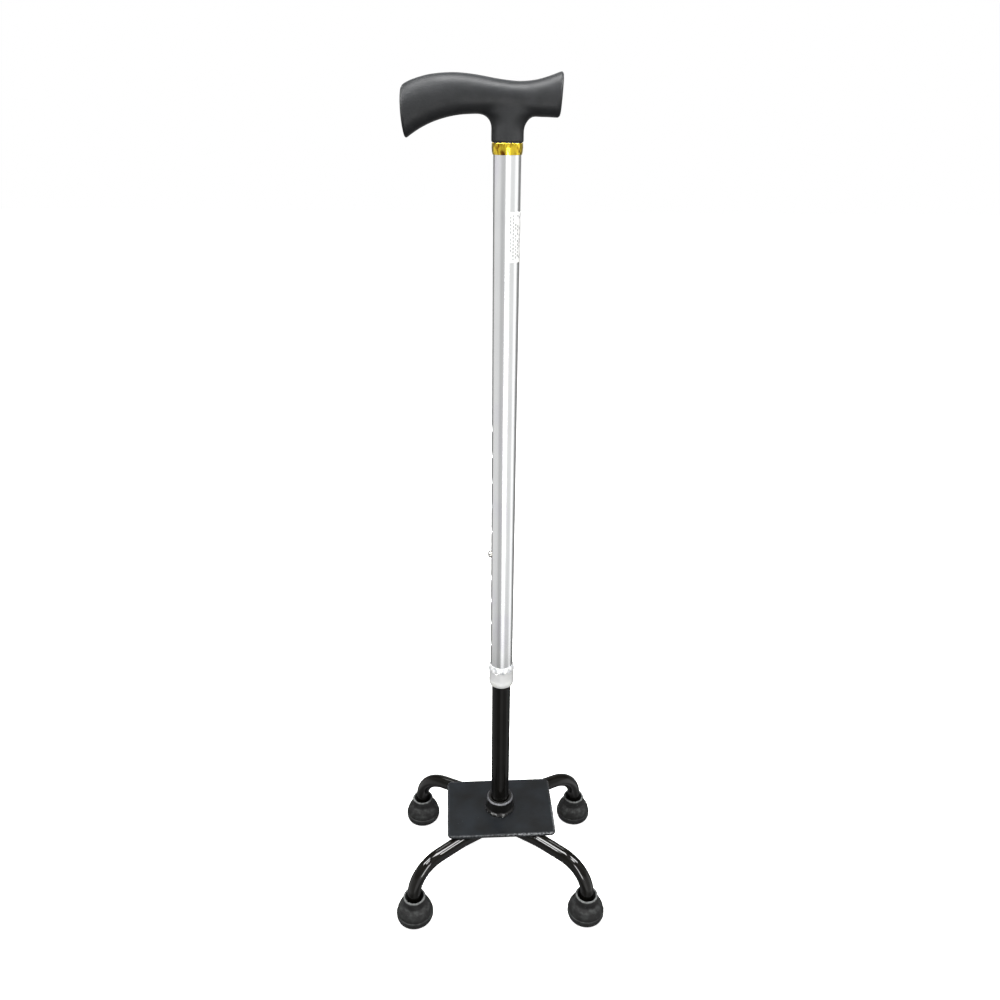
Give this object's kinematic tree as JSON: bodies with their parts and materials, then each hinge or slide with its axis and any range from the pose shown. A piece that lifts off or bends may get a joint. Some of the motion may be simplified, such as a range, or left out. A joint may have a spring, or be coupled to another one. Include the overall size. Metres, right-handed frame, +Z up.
{
  "type": "quad walking cane",
  "caption": "Height-adjustable walking cane with a T handle, a telescoping two-tube shaft and a small base plate on bent legs with rubber feet.",
  "frame": {"origin": "on the floor under the shaft's axis, at the centre of the feet", "axes": "+Z up along the shaft; +X to the handle's short end, away from the height holes; -Y is the front"},
  "size_m": [0.2222, 0.1814, 0.8142],
  "materials": {
    "grip": "fine matt texture",
    "gold": "bright gold plate",
    "anodised": "bright silver anodised",
    "label": "white film",
    "clear_ring": "milky translucent",
    "nylon": "natural nylon",
    "black_gloss": "gloss black enamel",
    "black_satin": "satin black powder coat",
    "rubber": "dull moulded rubber",
    "zinc": "zinc plated",
    "spring_steel": "bright spring strip"
  },
  "bodies": {
    "base": {"base_plate": "black_satin", "lower_tube": "black_gloss", "guide_bush": "nylon", "button_spring": "spring_steel", "base_socket": "black_gloss", "tube_plug": "zinc", "base_bolt": "zinc", "base_washer": "zinc", "leg_tube_front": "black_gloss", "leg_tube_rear": "black_gloss", "rubber_foot_fl": "rubber", "rubber_foot_fr": "rubber", "rubber_foot_rl": "rubber", "rubber_foot_rr": "rubber", "foot_washer_fl": "zinc", "foot_washer_fr": "zinc", "foot_washer_rl": "zinc", "foot_washer_rr": "zinc"},
    "upper_shaft": {"handle_grip": "grip", "handle_plug": "nylon", "handle_screw": "zinc", "ferrule_ring": "gold", "upper_tube": "anodised", "tube_label": "label", "collet_bush": "nylon"},
    "lock_ring": {"lock_nut": "clear_ring"},
    "button": {"snap_button": "zinc"}
  },
  "joints": [
    {"name": "height_adjust", "type": "slide", "parent": "base", "child": "upper_shaft", "axis": [0, 0, 1], "range_m": [-0.127, 0.1016], "deforming": ["snap_button"]},
    {"name": "lock_nut_turn", "type": "hinge", "parent": "upper_shaft", "child": "lock_ring", "pos_m": [0, 0, 0.266], "axis": [0, 0, -1], "range_deg": [0, 360]},
    {"name": "button_press", "type": "slide", "parent": "base", "child": "button", "axis": [1, 0, 0], "range_m": [0, 0.0043], "stiffness_N_per_m": 1500, "springref_m": -0.004, "deforming": ["button_spring"]}
  ]
}
